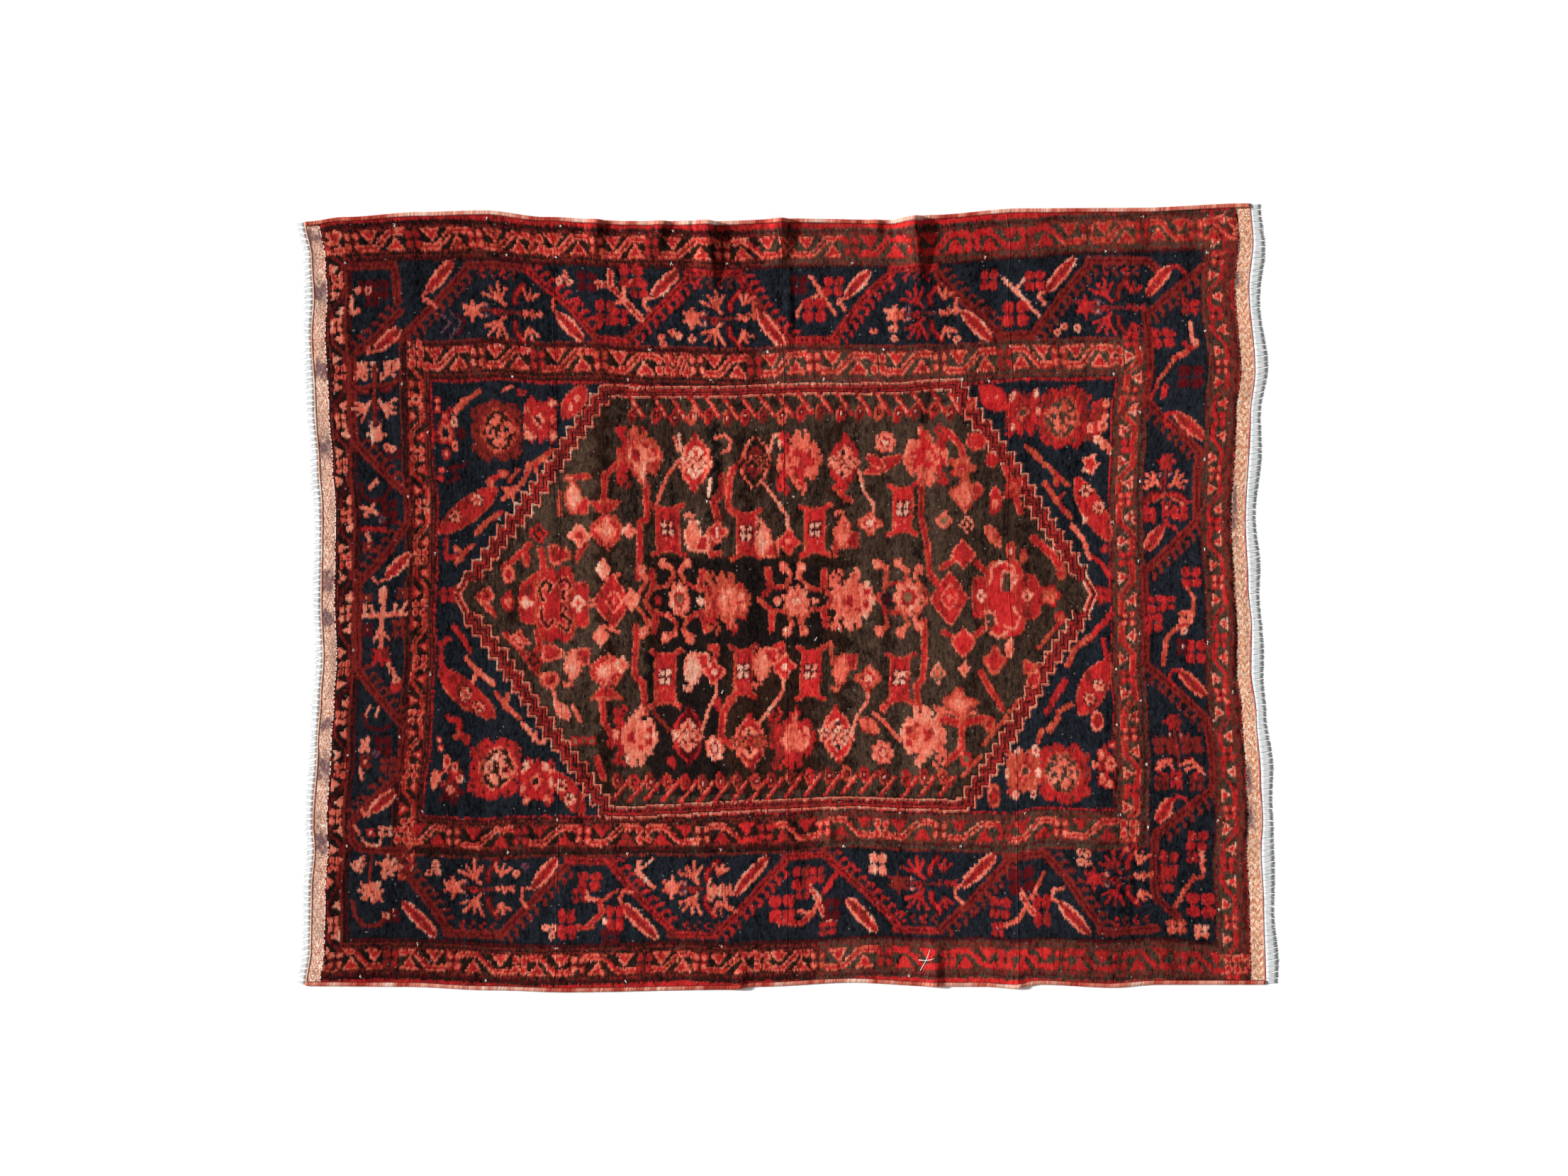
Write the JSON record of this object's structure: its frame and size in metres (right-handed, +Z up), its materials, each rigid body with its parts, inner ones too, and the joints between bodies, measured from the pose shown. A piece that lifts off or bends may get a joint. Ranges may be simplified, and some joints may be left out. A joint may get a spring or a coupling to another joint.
{
  "type": "oushak rug",
  "caption": "Rectangular hand-knotted wool rug lying flat with edge folds, flat-woven ends, overcast side cords and short warp fringes.",
  "frame": {"origin": "middle of the woven field, on the flat underside that lies on the floor", "axes": "+X along the warps, from one fringe to the other, +Y across them towards the side with the stronger folds, +Z up"},
  "size_m": [1.9425, 1.5579, 0.0254],
  "materials": {
    "knotted_cloth": "wool pile, soft sheen",
    "side_cord": "overcast wool yarn, matte",
    "warp_fringe": "plied cotton warp ends, matte"
  },
  "bodies": {
    "root": {"rug": "knotted_cloth", "selvedge_top": "side_cord", "selvedge_bottom": "side_cord", "fringe_left": "warp_fringe", "fringe_right": "warp_fringe"}
  },
  "joints": []
}
